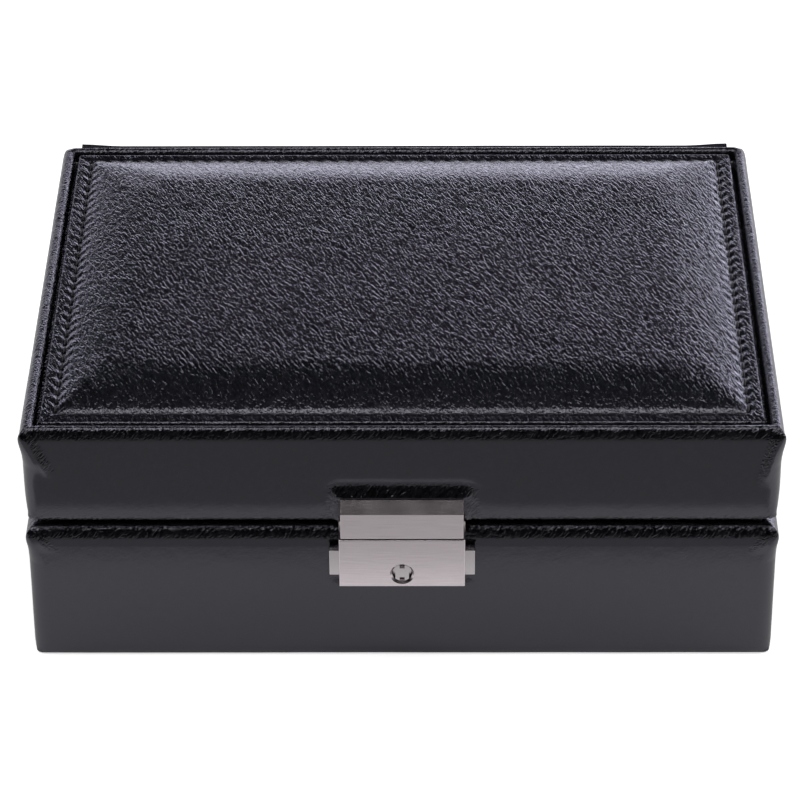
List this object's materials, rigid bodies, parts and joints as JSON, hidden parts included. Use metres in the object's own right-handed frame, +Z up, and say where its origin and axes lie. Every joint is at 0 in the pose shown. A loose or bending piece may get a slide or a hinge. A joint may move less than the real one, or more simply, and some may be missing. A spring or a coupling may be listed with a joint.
{
  "type": "cufflink box",
  "caption": "Rectangular leather-covered box with a hinged padded lid, a push-button lock on the front and a lift-out divided tray for cufflinks.",
  "frame": {"origin": "centre of the underside, where the box rests on the table", "axes": "+X to the right as seen from the lock, +Y to the back towards the hinge, +Z up"},
  "size_m": [0.199, 0.156, 0.0758],
  "materials": {
    "cover_leather": "semi-gloss black grained leather",
    "panel_leather": "semi-gloss black grained leather, padded and stitched",
    "fibreboard": "raw fibreboard",
    "foam": "soft foam sheet",
    "lining_cloth": "black velour",
    "ribbon": "black satin ribbon",
    "bottom_cloth": "black felt sheet",
    "brushed_nickel": "fine horizontal brushing, nickel colour",
    "plain_nickel": "smooth satin nickel",
    "steel": "plain steel"
  },
  "bodies": {
    "base": {"base_front_board": "fibreboard", "base_back_board": "fibreboard", "base_left_board": "fibreboard", "base_right_board": "fibreboard", "base_floor_board": "fibreboard", "base_padding": "foam", "base_cover": "cover_leather", "base_back_panel": "cover_leather", "bottom_sheet": "bottom_cloth", "base_lining_front": "lining_cloth", "base_lining_back": "lining_cloth", "base_lining_left": "lining_cloth", "base_lining_right": "lining_cloth", "base_floor_lining": "lining_cloth", "tray_ledges": "lining_cloth", "hinge_leaf_base": "steel", "hinge_pin": "steel", "hinge_nails_base": "steel", "lock_case": "brushed_nickel", "lock_back_plate": "steel", "left_spring": "steel", "right_spring": "steel", "lock_screws": "steel"},
    "lid": {"lid_front_board": "fibreboard", "lid_back_board": "fibreboard", "lid_left_board": "fibreboard", "lid_right_board": "fibreboard", "lid_ceiling_board": "fibreboard", "lid_padding": "foam", "lid_cover": "cover_leather", "lid_back_panel": "cover_leather", "top_panel_board": "fibreboard", "top_panel_pad": "foam", "top_panel_leather": "panel_leather", "lid_lining_front": "lining_cloth", "lid_lining_back": "lining_cloth", "lid_lining_left": "lining_cloth", "lid_lining_right": "lining_cloth", "lid_ceiling_pad": "lining_cloth", "hinge_leaf_lid": "steel", "hinge_nails_lid": "steel", "hasp_cover": "brushed_nickel", "hasp_tongue": "steel", "hasp_backing_plate": "steel", "hasp_screws": "steel"},
    "tray": {"tray_floor": "lining_cloth", "tray_front": "lining_cloth", "tray_back": "lining_cloth", "tray_left": "lining_cloth", "tray_right": "lining_cloth", "tray_long_slats": "lining_cloth", "tray_cross_slats": "lining_cloth", "tray_pulls": "ribbon"},
    "left_button": {"left_button": "plain_nickel", "left_latch": "steel"},
    "right_button": {"right_button": "plain_nickel", "right_latch": "steel"},
    "key": {"key_plug": "plain_nickel", "key_cam": "steel"}
  },
  "joints": [
    {"name": "lid_hinge", "type": "hinge", "parent": "base", "child": "lid", "pos_m": [0, 0.0734, 0.0423], "axis": [-1, 0, 0], "range_deg": [0, 95]},
    {"name": "tray_lift", "type": "slide", "parent": "base", "child": "tray", "axis": [0, 0, 1], "range_m": [0, 0.018]},
    {"name": "left_button_push", "type": "slide", "parent": "base", "child": "left_button", "axis": [1, 0, 0], "range_m": [0, 0.002], "stiffness_N_per_m": 200, "springref_m": -0.004, "deforming": ["left_spring"]},
    {"name": "right_button_push", "type": "slide", "parent": "base", "child": "right_button", "axis": [-1, 0, 0], "range_m": [0, 0.002], "stiffness_N_per_m": 200, "springref_m": -0.004, "deforming": ["right_spring"]},
    {"name": "key_turn", "type": "hinge", "parent": "base", "child": "key", "pos_m": [0, -0.0794, 0.0299], "axis": [0, 1, 0], "range_deg": [-90, 0]}
  ]
}
